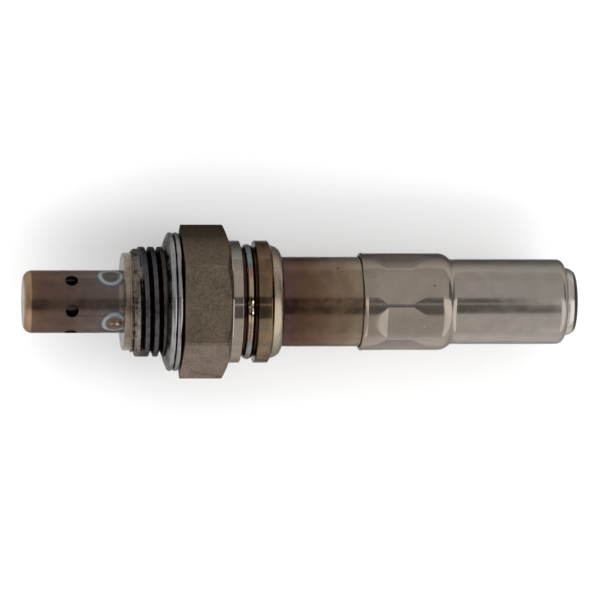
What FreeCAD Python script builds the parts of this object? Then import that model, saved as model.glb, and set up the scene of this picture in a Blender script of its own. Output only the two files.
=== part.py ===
import FreeCAD
import Part

import math
import os

# Heated oxygen sensor that screws into an exhaust pipe, without its leads. Millimetres.
# The axis is X: the gas end points to -X and the leads leave at +X. X = 0 is the face of the
# gasket that seats on the exhaust boss. Two flats of the hexagon face up and down, along Z.
# A feature at angle 0 is on top, at +Z, and angles grow from there towards -Y.

# Thread and nose of the shell, and the boss that the protector tubes sit on
thread_diameter = 18.0
thread_pitch = 1.5
thread_depth_per_pitch = 0.65
thread_length = 4.6
lead_in_length = 1.1
nose_diameter = 16.0
nose_length = 1.13
nose_chamfer = 0.25
boss_length = 3.6

# Folded gasket: its bore is smaller than the thread, so it stays on the neck behind it
gasket_catch = 1.1
gasket_width = 2.9
gasket_sheet = 0.4
gasket_front_bead = 1.4
gasket_rear_bead = 0.85
gasket_slit = 0.08
gasket_flat = 1.25
gasket_curl = 0.15
gasket_thread_gap = 0.1
gasket_crown = 0.63
gasket_front_round = 1.2
gasket_crown_round = 0.45
gasket_bead_round = 0.35
gasket_rear_opening = 1.2
gasket_play = 0.37

# Hexagon, collars and the buckled bead between them
hex_across_flats = 22.0
hex_corner_trim = 0.1
hex_length = 7.9
hex_chamfer_length = 1.0
hex_chamfer_depth = 2.5
collar_diameter = 20.05
collar_chamfer = 0.1
front_collar_length = 1.72
rear_collar_length = 2.2
buckle_width = 2.43
buckle_depth = 1.07
buckle_bead_rise = 0.5
buckle_bead_width = 1.45
buckle_bead_offset = 0.6

# Lip rolled over the flange of the rear tube
lip_length = 1.8
lip_width = 1.275
lip_taper = 0.65
lip_thickness = 1.05
lip_chamfer_length = 0.45
lip_edge_slope = 0.15
lip_round = 1.65

# Protector tubes
protector_length = 16.2
protector_diameter = 10.25
protector_wall = 0.5
protector_corner = 1.5
gas_hole_diameter = 2.0
gas_hole_count = 6
gas_hole_from_tip = 8.1
gas_hole_angle = 15.0
inner_protector_diameter = 7.2
inner_protector_wall = 0.4
inner_protector_gap = 1.6
inner_protector_corner = 1.2
inner_hole_diameter = 1.5
inner_hole_from_tip = 3.4
inner_tip_hole_diameter = 1.6
inner_cone_length = 1.0
inner_seat_width = 0.2

# Spot welds round the root of the outer protector: angle and distance ahead of the nose
weld_spots = ((-57.0, 1.7), (41.5, 1.1), (131.0, 1.4), (213.0, 1.3))
weld_ring_radius = 2.15
weld_ring_width = 0.65
weld_ring_height = 0.1

# Heater rod and the sensing element round it
heater_diameter = 2.8
heater_tip_gap = 0.8
heater_bevel = 0.4
element_tip_play = 0.15
element_tip_wall = 0.65
element_tip_thickness = 1.0
element_tip_gap = 2.0
element_bore_play = 0.9
element_neck_wall = 0.7
element_stem_wall = 1.6
element_stem_length = 18.7
element_flange_diameter = 11.8
element_flange_length = 3.0
element_flange_bevel = 0.8
element_end_share = 0.9

# Seal stack between the ledge of the shell and the flange of the rear tube
neck_play = 0.4
flange_play = 0.4
ledge_from_seat = 0.6
seat_washer_thickness = 0.4
seat_washer_width = 2.65
holder_length = 2.0
holder_bevel = 0.5
element_washer_thickness = 0.3
element_washer_width = 1.2
talc_length = 3.9
bush_nose_length = 1.8
bush_float = 0.3
bush_bevel = 0.4
packing_wire = 0.64

# Rear tube
rear_tube_diameter = 14.7
rear_tube_wall = 0.45
rear_tube_length = 27.3
rear_tube_bend = 0.15

# Outer sleeve
sleeve_wall = 0.5
sleeve_play = 0.1
sleeve_overlap = 12.16
sleeve_mouth_flare = 0.04
sleeve_mouth_length = 0.6
sleeve_mouth_taper = 0.24
sleeve_shoulder_slope = 0.75
sleeve_shoulder_round = 2.3
sleeve_step = 0.97
sleeve_neck_depth = 0.03
sleeve_neck_length = 0.6
sleeve_neck_taper = 0.3
sleeve_small_length = 19.0
sleeve_rear_round = 1.3
sleeve_rear_step = 1.4
sleeve_boss_length = 1.17
sleeve_boss_wall = 0.35
sleeve_boss_round = 0.3

# Eight flats that crimp the sleeve onto the rear tube
crimp_count = 8
crimp_angle = 24.8
crimp_depth = 0.5
crimp_squeeze = 0.02
crimp_front_slope = 3.1
crimp_flat_length = 4.2
crimp_rear_slope = 3.4
crimp_from_tube_end = 0.5

# Ceramic separator and its spring
separator_setback = 4.3
separator_play = 0.255
separator_edge = 0.3
separator_flange_width = 0.95
separator_flange_length = 2.0
separator_flange_bevel = 0.8
separator_end_play = 0.21
separator_rear_length = 6.75
way_radius = 3.55
way_diameter = 2.7
heater_socket_play = 0.3
heater_socket_depth = 8.0
heater_end_gap = 0.6
spring_setback = 0.9
spring_length = 4.0
spring_sheet = 0.25
spring_gap_angle = 50.0

# Contacts and their crimp barrels
contact_sheet = 0.3
outer_contact_length = 5.5
inner_contact_length = 8.0
contact_slit_angle = 50.0
contact_setback = 0.5
contact_root = 0.5
contact_straight = 0.9
heater_pad_setback = 1.0
heater_pad_length = 1.3
heater_pad_angle = 60.0
strip_width = 1.9
strip_thickness = 0.4
strip_bend_setback = 0.7
leg_width = 1.2
barrel_length = 6.0
barrel_setback = 1.0
barrel_diameter = 2.3
barrel_wall = 0.3

# Grommet and its vent
grommet_gap = 0.4
grommet_reach = 0.63
grommet_round = 0.85
grommet_edge = 0.5
lead_hole_diameter = 2.0
lead_hole_radius = 3.1
vent_bore = 2.4
vent_recess = 0.5
vent_film = 0.12
vent_tube_wall = 0.2
vent_length = 10.0

# Angle of the first of the four leads, with their ways, contacts and holes
first_lead_angle = 45.0

# Clearances between pieces that fit into each other
press_gap = 0.02
slide_gap = 0.05

# How far a cutter runs out of what it cuts
overrun = 1.0

ORIGIN = FreeCAD.Vector(0, 0, 0)
ALONG_X = FreeCAD.Vector(1, 0, 0)
ALONG_Y = FreeCAD.Vector(0, 1, 0)
UP = FreeCAD.Vector(0, 0, 1)

# Radii of the heater and element, and of the bores that follow them
heater_radius = heater_diameter / 2
element_tip_bore = heater_radius + element_tip_play
element_tip_radius = element_tip_bore + element_tip_wall
element_bore = heater_radius + element_bore_play
element_neck = element_bore + element_neck_wall
stem_radius = element_bore + element_stem_wall
flange_radius = element_flange_diameter / 2
gas_bore = element_neck + neck_play
seal_bore = flange_radius + flange_play

# Radii of the tubes at both ends and of what holds them
protector_radius = protector_diameter / 2
protector_bore = protector_radius - protector_wall
boss_radius = protector_bore - inner_protector_wall - 2 * press_gap
inner_protector_radius = inner_protector_diameter / 2
rear_tube_radius = rear_tube_diameter / 2
rear_tube_bore = rear_tube_radius - rear_tube_wall
counterbore = rear_tube_radius + slide_gap + packing_wire + press_gap
lip_bore = rear_tube_radius + slide_gap
sleeve_bore = rear_tube_radius + sleeve_play
sleeve_radius = sleeve_bore + sleeve_wall
sleeve_small_radius = sleeve_radius - sleeve_step
sleeve_neck_radius = sleeve_small_radius - sleeve_neck_depth
sleeve_boss_radius = sleeve_small_radius - sleeve_rear_step

# Distances of the crimp's flats from the axis, and the separator that clears them
sleeve_flat = sleeve_radius - crimp_depth
tube_flat = sleeve_flat - sleeve_wall - crimp_squeeze
separator_radius = tube_flat - rear_tube_wall - separator_play

# Radii of the shell
thread_radius = thread_diameter / 2
thread_root = thread_radius - thread_depth_per_pitch * thread_pitch
nose_radius = nose_diameter / 2
gasket_bore = thread_radius - gasket_catch / 2
gasket_radius = gasket_bore + gasket_width
collar_radius = collar_diameter / 2
buckle_floor = collar_radius - buckle_depth
lip_radius = lip_bore + lip_width
lip_root = lip_radius + lip_taper

# Stations along the axis, from the gas end to the leads
x_nose = -thread_length - lead_in_length - nose_length
x_boss = x_nose - boss_length
x_tip = x_nose - protector_length
x_gasket_rear = gasket_front_bead + gasket_slit + gasket_rear_bead
x_hex = x_gasket_rear + gasket_play
x_hex_rear = x_hex + hex_length
x_buckle = x_hex_rear + front_collar_length
x_rear_collar = x_buckle + buckle_width
x_lip_chamfer = x_rear_collar + rear_collar_length
x_lip = x_lip_chamfer + lip_chamfer_length
x_lip_end = x_lip + lip_length
x_holder = ledge_from_seat + seat_washer_thickness
x_element_washer = x_holder + holder_length
x_flange = x_element_washer + element_washer_thickness
x_talc = x_flange + element_flange_length
x_bush = x_talc + talc_length
x_bush_flange = x_bush + bush_nose_length
x_packing = x_lip_end - lip_thickness - packing_wire - slide_gap
x_tube_flange = x_packing - rear_tube_wall
x_stem_end = x_talc + element_stem_length
x_inner_tip = x_tip + inner_protector_gap
x_element_tip = x_inner_tip + element_tip_gap
x_heater_tip = x_element_tip + element_tip_thickness + heater_tip_gap
x_separator = x_stem_end + separator_setback
x_heater_end = x_separator + heater_socket_depth - heater_end_gap
x_tube_end = x_tube_flange + rear_tube_length
x_separator_flange = x_tube_end + slide_gap
x_separator_flange_end = x_separator_flange + separator_flange_length
x_separator_end = x_separator_flange_end + separator_rear_length
x_sleeve = x_tube_end - sleeve_overlap
x_crimp_end = x_tube_end - crimp_from_tube_end
x_crimp_flat_end = x_crimp_end - crimp_rear_slope
x_crimp_flat = x_crimp_flat_end - crimp_flat_length
x_crimp = x_crimp_flat - crimp_front_slope
x_shoulder = x_separator_flange_end + separator_end_play + sleeve_wall
x_rear_shoulder = x_shoulder + sleeve_small_length
x_sleeve_end = x_rear_shoulder + sleeve_boss_length
x_grommet = x_separator_end + grommet_gap
x_grommet_end = x_sleeve_end + grommet_reach
x_barrel = x_separator_end - barrel_setback - barrel_length
x_strip_bend = x_separator - strip_bend_setback


def rounded_edges(points):
    """Edges of a closed section from (x, radius) or (x, radius, corner round) points.

    Where a side is too short for the rounds at its ends, they are limited to fit it.
    """
    corners = [FreeCAD.Vector(p[0], 0, p[1]) for p in points]
    count = len(corners)
    halves = []
    reaches = []
    for i, at in enumerate(corners):
        half = (corners[i - 1] - at).getAngle(corners[(i + 1) % count] - at) / 2
        halves.append(half)
        reaches.append(points[i][2] / math.tan(half) if len(points[i]) > 2 else 0.0)
    limits = [1.0] * count
    for i in range(count):
        ahead = (i + 1) % count
        side = corners[i].distanceToPoint(corners[ahead])
        if reaches[i] + reaches[ahead] > side:
            limit = side / (reaches[i] + reaches[ahead])
            limits[i] = min(limits[i], limit)
            limits[ahead] = min(limits[ahead], limit)
    arcs = []
    ends = []
    for i, at in enumerate(corners):
        if reaches[i] == 0:
            arcs.append(None)
            ends.append((at, at))
            continue
        reach = reaches[i] * limits[i]
        back = (corners[i - 1] - at).normalize()
        ahead = (corners[(i + 1) % count] - at).normalize()
        first = at + back * reach
        last = at + ahead * reach
        depth = reach * (1 - math.sin(halves[i])) / math.cos(halves[i])
        middle = at + (back + ahead).normalize() * depth
        arcs.append(Part.Arc(first, middle, last).toShape())
        ends.append((first, last))
    edges = []
    for i in range(count):
        if arcs[i]:
            edges.append(arcs[i])
        start = ends[i][1]
        end = ends[(i + 1) % count][0]
        if start.distanceToPoint(end) > 1e-6:
            edges.append(Part.LineSegment(start, end).toShape())
    return edges


def section(points):
    return Part.Face(Part.Wire(rounded_edges(points)))


def spun(face, angle_width):
    solid = face.revolve(ORIGIN, ALONG_X, angle_width)
    if solid.Volume < 0:
        solid.reverse()
    return solid


def turned(points):
    """Solid of revolution about the axis."""
    return spun(section(points), 360)


def ring(start, end, inner, outer):
    """Plain ring or, with inner = 0, a plain disc about the axis."""
    return turned([(start, inner), (start, outer), (end, outer), (end, inner)])


def at_angle(shape, angle):
    """Copy of a shape turned about the axis, from the top towards -Y."""
    copy = shape.copy()
    copy.rotate(ORIGIN, ALONG_X, angle)
    return copy


def round_the_axis(shape, count, first_angle):
    return [at_angle(shape, first_angle + i * 360.0 / count) for i in range(count)]


def radial_cylinder(x, radius, length):
    """Upright cylinder from the axis outwards."""
    return Part.makeCylinder(radius, length, FreeCAD.Vector(x, 0, 0), UP)


def axial_cylinder(start, end, radius, offset):
    """Cylinder parallel to the axis, on top at a distance from it."""
    return Part.makeCylinder(radius, end - start, FreeCAD.Vector(start, 0, offset), ALONG_X)


def sector(start, end, inner, outer, angle_width):
    """Part of a tube wall that spans an angle about the axis, with its middle on top."""
    wall = section([(start, inner), (start, outer), (end, outer), (end, inner)])
    return at_angle(spun(wall, angle_width), -angle_width / 2)


def bent_strip(points, width, thickness):
    """Sheet strip that follows (x, radius) points, with round bends."""
    pieces = []
    for (x0, r0), (x1, r1) in zip(points, points[1:]):
        length = math.hypot(x1 - x0, r1 - r0)
        run = Part.makeBox(length, width, thickness, FreeCAD.Vector(0, -width / 2, -thickness / 2))
        run.rotate(ORIGIN, ALONG_Y, -math.degrees(math.atan2(r1 - r0, x1 - x0)))
        run.translate(FreeCAD.Vector(x0, 0, r0))
        pieces.append(run)
    for x, r in points[1:-1]:
        pieces.append(Part.makeCylinder(
            thickness / 2, width, FreeCAD.Vector(x, -width / 2, r), ALONG_Y))
    return pieces[0].fuse(pieces[1:]).removeSplitter()


def hexagon():
    """Hexagon with its corners turned down a little and a chamfer at the rear."""
    corner_radius = hex_across_flats / 2 / math.cos(math.pi / 6)
    turned_radius = corner_radius - hex_corner_trim
    corners = []
    for i in range(7):
        turn = i * math.pi / 3
        corners.append(FreeCAD.Vector(
            x_hex, corner_radius * math.cos(turn), corner_radius * math.sin(turn)))
    prism = Part.Face(Part.makePolygon(corners)).extrude(ALONG_X * hex_length)
    return prism.common(turned([
        (x_hex, 0),
        (x_hex, turned_radius),
        (x_hex_rear - hex_chamfer_length, turned_radius),
        (x_hex_rear, turned_radius - hex_chamfer_depth),
        (x_hex_rear, 0)]))


def buckled_bead():
    """Round bead that stands up where the wall buckled between the collars."""
    half_width = buckle_bead_width / 2
    bead_round = (buckle_bead_rise ** 2 + half_width ** 2) / (2 * buckle_bead_rise)
    middle = FreeCAD.Vector(x_buckle + buckle_bead_offset + half_width, 0, 0)
    return Part.makeTorus(
        buckle_floor + buckle_bead_rise - bead_round, bead_round, middle, ALONG_X)


def shell():
    """One turned piece: boss, nose, thread, hexagon, collars, buckled bead, rolled lip."""
    front = turned([
        (x_boss, 0),
        (x_boss, boss_radius),
        (x_nose, boss_radius),
        (x_nose, nose_radius - nose_chamfer),
        (x_nose + nose_chamfer, nose_radius),
        (x_nose + nose_length, nose_radius),
        (-thread_length, thread_radius),
        (0, thread_radius),
        (0, thread_root),
        (x_hex, thread_root),
        (x_hex, 0)])
    rear = turned([
        (x_hex_rear, 0),
        (x_hex_rear, collar_radius),
        (x_buckle - collar_chamfer, collar_radius),
        (x_buckle, collar_radius - collar_chamfer),
        (x_buckle, buckle_floor),
        (x_rear_collar, buckle_floor),
        (x_rear_collar, collar_radius - collar_chamfer),
        (x_rear_collar + collar_chamfer, collar_radius),
        (x_lip_chamfer, collar_radius),
        (x_lip, lip_root),
        (x_lip_end - lip_edge_slope, lip_radius, lip_round),
        (x_lip_end, lip_bore),
        (x_lip_end, 0)])
    bore = turned([
        (x_boss - overrun, 0),
        (x_boss - overrun, gas_bore),
        (ledge_from_seat, gas_bore),
        (ledge_from_seat, seal_bore),
        (x_bush_flange - bush_float, seal_bore),
        (x_bush_flange - bush_float, counterbore),
        (x_lip_end - lip_thickness, counterbore),
        (x_lip_end - lip_thickness, lip_bore),
        (x_lip_end + overrun, lip_bore),
        (x_lip_end + overrun, 0)])
    return front.fuse([hexagon(), rear, buckled_bead()]).removeSplitter().cut(bore)


def gasket():
    """Sheet folded to and fro into a ring with two round beads outside and a slit between.

    The inner edge curls back behind the thread, so the seating face clears the crests.
    """
    outer = gasket_radius
    inner = gasket_bore
    sheet = gasket_sheet
    front = gasket_front_bead
    rear = front + gasket_slit
    back = x_gasket_rear
    fold = inner + sheet / 2
    seat = thread_radius + gasket_thread_gap
    return turned([
        (gasket_curl, inner),
        (0, seat),
        (0, inner + gasket_flat, gasket_front_round),
        (gasket_crown, outer, gasket_crown_round),
        (front, outer, gasket_bead_round),
        (front, inner + 2 * sheet),
        (rear, inner + 2 * sheet),
        (rear, outer, gasket_bead_round),
        (back, outer, gasket_bead_round),
        (back, inner + gasket_rear_opening),
        (back - sheet, inner + gasket_rear_opening),
        (back - sheet, outer - sheet),
        (rear + sheet, outer - sheet),
        (rear + sheet, fold),
        (front - sheet, fold),
        (front - sheet, outer - sheet),
        (gasket_crown + sheet / 2, outer - sheet),
        (sheet, inner + gasket_flat),
        (sheet, seat),
        (sheet + gasket_curl, inner)])


def outer_protector():
    """Deep-drawn cup with a row of gas holes and raised rings of four spot welds at its root."""
    x_inside = x_tip + protector_wall
    reach = protector_radius + overrun
    cup = turned([
        (x_tip, 0),
        (x_tip, protector_radius, protector_corner),
        (x_nose, protector_radius),
        (x_nose, protector_bore),
        (x_inside, protector_bore, protector_corner - protector_wall),
        (x_inside, 0)])
    skin = ring(x_nose - 2 * weld_ring_radius - overrun, x_nose,
                protector_radius - protector_wall / 2, protector_radius + weld_ring_height)
    rings = []
    for angle, ahead in weld_spots:
        outside = radial_cylinder(x_nose - ahead, weld_ring_radius, reach)
        inside = radial_cylinder(x_nose - ahead, weld_ring_radius - weld_ring_width, reach)
        rings.append(at_angle(outside.cut(inside), angle).common(skin))
    hole = radial_cylinder(x_tip + gas_hole_from_tip, gas_hole_diameter / 2, reach)
    return cup.fuse(rings).cut(round_the_axis(hole, gas_hole_count, gas_hole_angle))


def inner_protector():
    """Second cup, held by its wide mouth between the shell's boss and the outer cup."""
    mouth = protector_bore - press_gap
    seat = boss_radius + press_gap
    body = inner_protector_radius
    bore = body - inner_protector_wall
    x_inside = x_inner_tip + inner_protector_wall
    x_seat = x_boss - press_gap
    tip_hole = inner_tip_hole_diameter / 2
    cup = turned([
        (x_inner_tip, tip_hole),
        (x_inner_tip, body, inner_protector_corner),
        (x_seat - inner_cone_length, body),
        (x_seat, mouth),
        (x_nose - slide_gap, mouth),
        (x_nose - slide_gap, seat),
        (x_seat, seat),
        (x_seat, seat - inner_seat_width),
        (x_seat - inner_cone_length, bore),
        (x_inside, bore, inner_protector_corner - inner_protector_wall),
        (x_inside, tip_hole)])
    hole = radial_cylinder(
        x_inner_tip + inner_hole_from_tip, inner_hole_diameter / 2, body + overrun)
    half_step = 180.0 / gas_hole_count
    return cup.cut(round_the_axis(hole, gas_hole_count, gas_hole_angle + half_step))


def seat_washer():
    outer = seal_bore - slide_gap
    return ring(ledge_from_seat, x_holder, outer - seat_washer_width, outer)


def ceramic_holder():
    """Ring that carries the flange of the element on the ledge of the shell."""
    outer = seal_bore - slide_gap
    return turned([
        (x_holder, gas_bore),
        (x_holder, outer - holder_bevel),
        (x_holder + holder_bevel, outer),
        (x_element_washer, outer),
        (x_element_washer, gas_bore + holder_bevel),
        (x_element_washer - holder_bevel, gas_bore)])


def element_washer():
    outer = flange_radius - element_flange_bevel
    return ring(x_element_washer, x_flange, outer - element_washer_width, outer)


def sensing_element():
    """Closed ceramic thimble with a thick flange, open at its rear end."""
    tip = element_tip_radius
    x_inside = x_element_tip + element_tip_thickness
    return turned([
        (x_element_tip, 0),
        (x_element_tip, tip, element_end_share * tip),
        (x_flange, element_neck),
        (x_flange, flange_radius - element_flange_bevel),
        (x_flange + element_flange_bevel, flange_radius),
        (x_talc - element_flange_bevel, flange_radius),
        (x_talc, flange_radius - element_flange_bevel),
        (x_talc, stem_radius),
        (x_stem_end, stem_radius),
        (x_stem_end, element_bore),
        (x_flange, element_bore),
        (x_inside, element_tip_bore, element_end_share * element_tip_bore),
        (x_inside, 0)])


def heater_rod():
    return turned([
        (x_heater_tip, 0),
        (x_heater_tip, heater_radius - heater_bevel),
        (x_heater_tip + heater_bevel, heater_radius),
        (x_heater_end, heater_radius),
        (x_heater_end, 0)])


def talc_seal():
    """Pressed powder ring that fills the space round the stem, up to the bevelled flange."""
    return turned([
        (x_talc, stem_radius + press_gap),
        (x_talc, flange_radius - element_flange_bevel),
        (x_talc - element_flange_bevel, flange_radius),
        (x_talc - element_flange_bevel, seal_bore - press_gap),
        (x_bush, seal_bore - press_gap),
        (x_bush, stem_radius + press_gap)])


def ceramic_sleeve():
    """Flanged ceramic bush that presses on the powder ring."""
    inner = stem_radius + slide_gap
    outer = counterbore - slide_gap
    nose = seal_bore - slide_gap
    return turned([
        (x_bush, inner),
        (x_bush, nose),
        (x_bush_flange, nose),
        (x_bush_flange, outer - bush_bevel),
        (x_bush_flange + bush_bevel, outer),
        (x_tube_flange, outer),
        (x_tube_flange, inner + bush_bevel),
        (x_tube_flange - bush_bevel, inner)])


def packing_ring():
    """Soft wire ring under the rolled lip."""
    wire = packing_wire / 2
    middle = FreeCAD.Vector(x_packing + wire, 0, 0)
    return Part.makeTorus(counterbore - press_gap - wire, wire, middle, ALONG_X)


def crimped_bar(radius, start, end, flat_distance):
    """Round bar with the crimp's flats pressed into it, each with sloping ends."""
    outside = radius + overrun
    side = [
        (x_crimp, radius),
        (x_crimp_flat, flat_distance),
        (x_crimp_flat_end, flat_distance),
        (x_crimp_end, radius),
        (x_crimp_end, outside),
        (x_crimp, outside),
        (x_crimp, radius)]
    outline = Part.makePolygon([FreeCAD.Vector(x, -radius, r) for x, r in side])
    press = Part.Face(outline).extrude(ALONG_Y * 2 * radius)
    return ring(start, end, 0, radius).cut(round_the_axis(press, crimp_count, crimp_angle))


def rear_tube():
    """Drawn tube whose flange is clamped under the rolled lip, crimped inside the sleeve."""
    flange = counterbore - slide_gap
    x_split = (x_sleeve + x_crimp) / 2
    front = turned([
        (x_tube_flange, rear_tube_bore),
        (x_tube_flange, flange),
        (x_packing, flange),
        (x_packing, rear_tube_radius, rear_tube_bend),
        (x_split, rear_tube_radius),
        (x_split, rear_tube_bore)])
    outside = crimped_bar(rear_tube_radius, x_split, x_tube_end, tube_flat)
    inside = crimped_bar(rear_tube_bore, x_split, x_tube_end, tube_flat - rear_tube_wall)
    return front.fuse(outside.cut(inside)).removeSplitter()


def outer_sleeve():
    """Stepped deep-drawn sleeve: flared mouth, crimped body, shoulder, small body, boss."""
    mouth = sleeve_radius + sleeve_mouth_flare
    small = sleeve_small_radius
    small_bore = small - sleeve_wall
    neck = sleeve_neck_radius
    neck_bore = neck - sleeve_wall
    boss = sleeve_boss_radius
    boss_bore = boss - sleeve_boss_wall
    x_mouth_end = x_sleeve + sleeve_mouth_length
    x_neck_end = x_shoulder + sleeve_neck_length
    x_shoulder_inside = x_shoulder - sleeve_wall
    x_rear_inside = x_rear_shoulder - sleeve_wall
    front = turned([
        (x_sleeve, mouth - sleeve_wall / 2),
        (x_sleeve, mouth, sleeve_wall / 3),
        (x_mouth_end, mouth),
        (x_mouth_end + sleeve_mouth_taper, sleeve_radius),
        (x_crimp, sleeve_radius),
        (x_crimp, sleeve_bore),
        (x_mouth_end, sleeve_bore)])
    outside = crimped_bar(sleeve_radius, x_crimp, x_crimp_end, sleeve_flat)
    inside = crimped_bar(sleeve_bore, x_crimp, x_crimp_end, sleeve_flat - sleeve_wall)
    rear = turned([
        (x_crimp_end, sleeve_bore),
        (x_crimp_end, sleeve_radius),
        (x_shoulder - sleeve_shoulder_slope, sleeve_radius, sleeve_shoulder_round),
        (x_shoulder, neck),
        (x_neck_end, neck),
        (x_neck_end + sleeve_neck_taper, small),
        (x_rear_shoulder, small, sleeve_rear_round),
        (x_rear_shoulder, boss),
        (x_sleeve_end, boss, sleeve_boss_round),
        (x_sleeve_end, boss_bore),
        (x_rear_inside, boss_bore),
        (x_rear_inside, small_bore, sleeve_rear_round - sleeve_wall),
        (x_neck_end + sleeve_neck_taper, small_bore),
        (x_neck_end, neck_bore),
        (x_shoulder_inside, neck_bore),
        (x_shoulder_inside - sleeve_shoulder_slope, sleeve_bore,
         sleeve_shoulder_round - sleeve_wall)])
    return front.fuse([outside.cut(inside), rear]).removeSplitter()


def separator():
    """Ceramic body with four ways for the contacts and a socket for the heater rod."""
    flange = separator_radius + separator_flange_width
    rear_body = sleeve_neck_radius - sleeve_wall - slide_gap
    body = turned([
        (x_separator, 0),
        (x_separator, separator_radius - separator_edge),
        (x_separator + separator_edge, separator_radius),
        (x_separator_flange, separator_radius),
        (x_separator_flange, flange),
        (x_separator_flange_end - separator_flange_bevel, flange),
        (x_separator_flange_end, flange - separator_flange_bevel),
        (x_separator_flange_end, rear_body),
        (x_separator_end, rear_body),
        (x_separator_end, 0)])
    way = axial_cylinder(
        x_separator - overrun, x_separator_end + overrun, way_diameter / 2, way_radius)
    socket = ring(x_separator - overrun, x_separator + heater_socket_depth,
                  0, heater_radius + heater_socket_play)
    return body.cut(round_the_axis(way, 4, first_lead_angle) + [socket])


def separator_spring():
    """Split ring of bowed sheet between the separator and the rear tube."""
    low = separator_radius + press_gap
    high = rear_tube_bore - slide_gap
    start = x_separator + spring_setback
    middle = start + spring_length / 2
    end = start + spring_length
    band = section([
        (start, low),
        (middle, high - spring_sheet),
        (end, low),
        (end, low + spring_sheet),
        (middle, high),
        (start, low + spring_sheet)])
    return at_angle(spun(band, 360 - spring_gap_angle), spring_gap_angle / 2)


def barrel_and_strip(run):
    """Strip that follows (x, radius) points and ends in an open crimp barrel for a lead."""
    x_bore = x_barrel + strip_width
    strip = bent_strip(run + [(x_bore, way_radius)], strip_width, strip_thickness)
    barrel = axial_cylinder(
        x_barrel, x_barrel + barrel_length, barrel_diameter / 2, way_radius)
    bore = axial_cylinder(x_bore, x_barrel + barrel_length + overrun,
                          barrel_diameter / 2 - barrel_wall, way_radius)
    return strip.fuse(barrel).cut(bore)


def outer_contact():
    """Split clip round the stem of the element, with a strip to its lead."""
    inner = stem_radius + press_gap
    level = inner + strip_thickness / 2
    x_clip_end = x_stem_end - contact_setback
    clip = sector(x_clip_end - outer_contact_length, x_clip_end,
                  inner, inner + contact_sheet, 360 - contact_slit_angle)
    tail = barrel_and_strip([
        (x_clip_end - contact_root, level),
        (x_stem_end + contact_straight, level),
        (x_strip_bend, way_radius)])
    return clip.fuse(tail).removeSplitter()


def inner_contact():
    """Split clip inside the bore of the element, with a strip to its lead."""
    outer = element_bore - press_gap
    level = outer - contact_sheet / 2
    x_clip_end = x_stem_end - contact_setback
    clip = sector(x_clip_end - inner_contact_length, x_clip_end,
                  outer - contact_sheet, outer, 360 - contact_slit_angle)
    leg = bent_strip([
        (x_clip_end - contact_root, level - contact_sheet / 2),
        (x_stem_end + contact_straight, level - contact_sheet / 2),
        (x_strip_bend, way_radius)], leg_width, contact_sheet)
    tail = barrel_and_strip([(x_strip_bend - contact_sheet, way_radius)])
    return clip.fuse([leg, tail]).removeSplitter()


def heater_contact():
    """Pad brazed to the heater rod, with a strip to its lead. Two are used."""
    level = heater_radius + contact_sheet / 2
    x_pad = x_stem_end + heater_pad_setback
    x_pad_end = x_pad + heater_pad_length
    pad = sector(x_pad, x_pad_end, heater_radius, heater_radius + contact_sheet,
                 heater_pad_angle)
    leg = bent_strip([
        (x_pad_end - heater_pad_length / 2, level),
        (x_pad_end, level),
        (x_strip_bend, way_radius)], leg_width, contact_sheet)
    tail = barrel_and_strip([(x_strip_bend - contact_sheet, way_radius)])
    return pad.fuse([leg, tail]).removeSplitter()


def grommet():
    """Rubber plug with four lead holes and a vent, held by the sleeve's rear shoulder."""
    body = sleeve_small_radius - sleeve_wall - press_gap
    neck = sleeve_boss_radius - sleeve_boss_wall - press_gap
    x_body_end = x_rear_shoulder - sleeve_wall - press_gap
    plug = turned([
        (x_grommet, 0),
        (x_grommet, body - grommet_edge),
        (x_grommet + grommet_edge, body),
        (x_body_end, body, sleeve_rear_round - sleeve_wall),
        (x_body_end, neck),
        (x_grommet_end, neck, grommet_round),
        (x_grommet_end, 0)])
    start = x_grommet - overrun
    end = x_grommet_end + overrun
    hole = axial_cylinder(start, end, lead_hole_diameter / 2, lead_hole_radius)
    vent = ring(start, end, 0, vent_bore / 2)
    return plug.cut(round_the_axis(hole, 4, first_lead_angle) + [vent])


def vent_membrane():
    """Thin porous film drawn over the end of the vent tube like a cap."""
    outer = vent_bore / 2
    x_end = x_grommet_end - vent_recess
    return turned([
        (x_end - vent_length, outer - vent_film),
        (x_end - vent_length, outer),
        (x_end, outer),
        (x_end, 0),
        (x_end - vent_film, 0),
        (x_end - vent_film, outer - vent_film)])


def vent_tube():
    outer = vent_bore / 2 - vent_film
    x_end = x_grommet_end - vent_recess - vent_film
    return ring(x_end - vent_length, x_end, outer - vent_tube_wall, outer)


nodes = {
    "shell": shell(),
    "gasket": gasket(),
    "outer_protector": outer_protector(),
    "inner_protector": inner_protector(),
    "seat_washer": seat_washer(),
    "ceramic_holder": ceramic_holder(),
    "element_washer": element_washer(),
    "sensing_element": sensing_element(),
    "heater_rod": heater_rod(),
    "talc_seal": talc_seal(),
    "ceramic_sleeve": ceramic_sleeve(),
    "packing_ring": packing_ring(),
    "rear_tube": rear_tube(),
    "outer_sleeve": outer_sleeve(),
    "separator": separator(),
    "separator_spring": separator_spring(),
    "outer_contact": at_angle(outer_contact(), first_lead_angle),
    "inner_contact": at_angle(inner_contact(), first_lead_angle + 180),
    "heater_contact_left": at_angle(heater_contact(), first_lead_angle + 90),
    "heater_contact_right": at_angle(heater_contact(), first_lead_angle + 270),
    "grommet": grommet(),
    "vent_membrane": vent_membrane(),
    "vent_tube": vent_tube(),
}

os.makedirs("parts", exist_ok=True)
for name, shape in nodes.items():
    shape.exportStep("parts/" + name + ".step")
    box = shape.BoundBox
    print(name, len(shape.Solids), shape.isValid(), round(shape.Volume, 2),
          "x", round(box.XMin, 2), round(box.XMax, 2), "y", round(box.YMax, 2),
          "z", round(box.ZMin, 2), round(box.ZMax, 2))
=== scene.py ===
import math

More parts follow.
